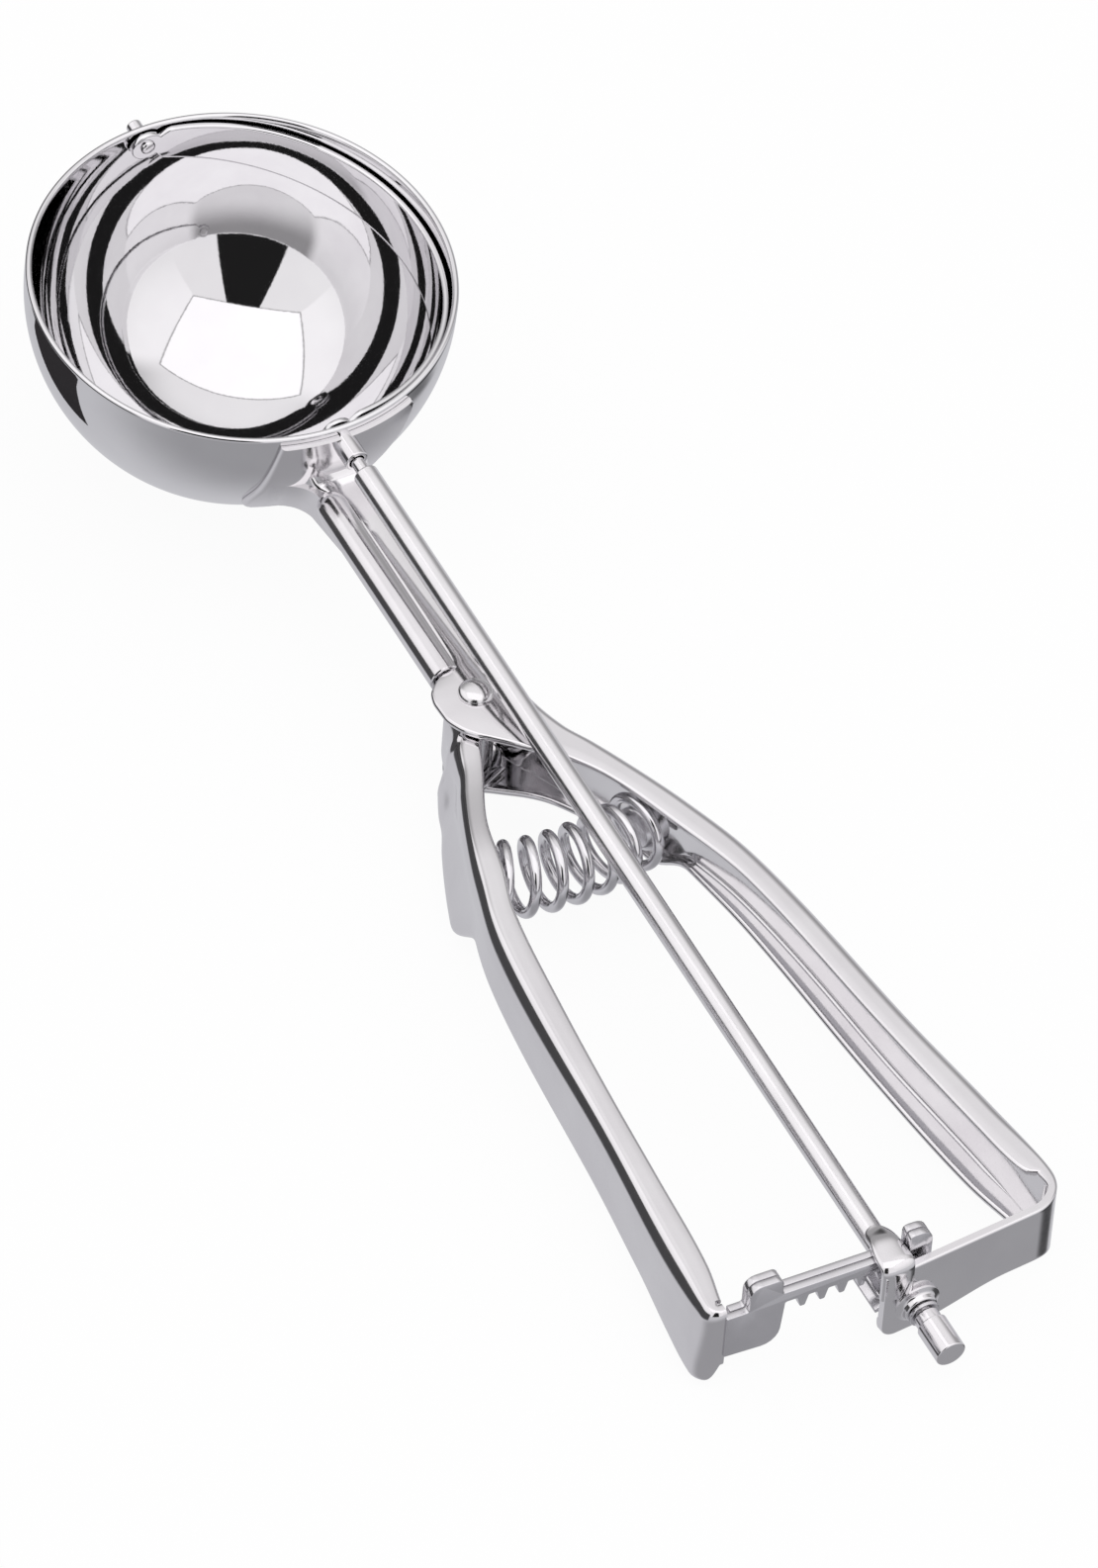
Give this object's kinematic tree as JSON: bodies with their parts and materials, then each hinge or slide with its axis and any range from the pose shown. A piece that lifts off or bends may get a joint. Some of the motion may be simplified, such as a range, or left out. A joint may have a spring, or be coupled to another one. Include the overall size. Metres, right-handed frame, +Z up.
{
  "type": "ice cream scoop",
  "caption": "Metal scoop with a round bowl, two sprung squeeze levers and a rack and pinion that turns a scraper blade inside the bowl.",
  "frame": {"origin": "middle of the footprint on the table, with the scoop lying on its bowl and on the ends of its levers, mouth up", "axes": "+Y from the handle to the bowl, +Z up out of the bowl's mouth, +X to the fixed lever's side"},
  "size_m": [0.06, 0.2315, 0.0364],
  "materials": {
    "mirror_polished_steel": "mirror-polished stainless steel",
    "polished_sheet_steel": "polished stainless sheet, slightly softer reflections",
    "cut_steel": "cut and tumbled stainless steel",
    "spring_wire": "bright drawn spring wire"
  },
  "bodies": {
    "frame": {"bowl": "mirror_polished_steel", "bowl_saddle": "polished_sheet_steel", "neck_shank": "polished_sheet_steel", "fixed_lever": "mirror_polished_steel", "end_strap": "polished_sheet_steel", "pivot_rivet": "mirror_polished_steel", "pivot_spacer": "cut_steel", "near_bush": "mirror_polished_steel", "strap_bush": "cut_steel", "far_pin": "mirror_polished_steel", "spring_stud_fixed": "cut_steel", "spring": "spring_wire"},
    "squeeze_lever": {"moving_lever": "mirror_polished_steel", "moving_end_plate": "mirror_polished_steel", "rack_front_leaf": "cut_steel", "rack_rear_leaf": "cut_steel", "spring_stud_moving": "cut_steel"},
    "drive": {"drive_rod": "mirror_polished_steel", "pinion": "cut_steel", "retaining_ring": "cut_steel", "end_cap": "mirror_polished_steel", "scraper_blade": "mirror_polished_steel"}
  },
  "joints": [
    {"name": "lever_squeeze", "type": "hinge", "parent": "frame", "child": "squeeze_lever", "pos_m": [-0.0028, 0.01005, 0.01713], "axis": [0, -0.0357, 0.9994], "range_deg": [0, 6.6], "stiffness_Nm_per_rad": 9, "springref_deg": -2.58, "deforming": ["spring"]},
    {"name": "scraper_turn", "type": "hinge", "parent": "frame", "child": "drive", "pos_m": [0, -0.01568, 0.01725], "axis": [0, 0.9918, 0.1275], "range_deg": [0, 163]}
  ],
  "couplings": [
    {"joint": "scraper_turn", "follows": "lever_squeeze", "ratio": 24.56}
  ]
}
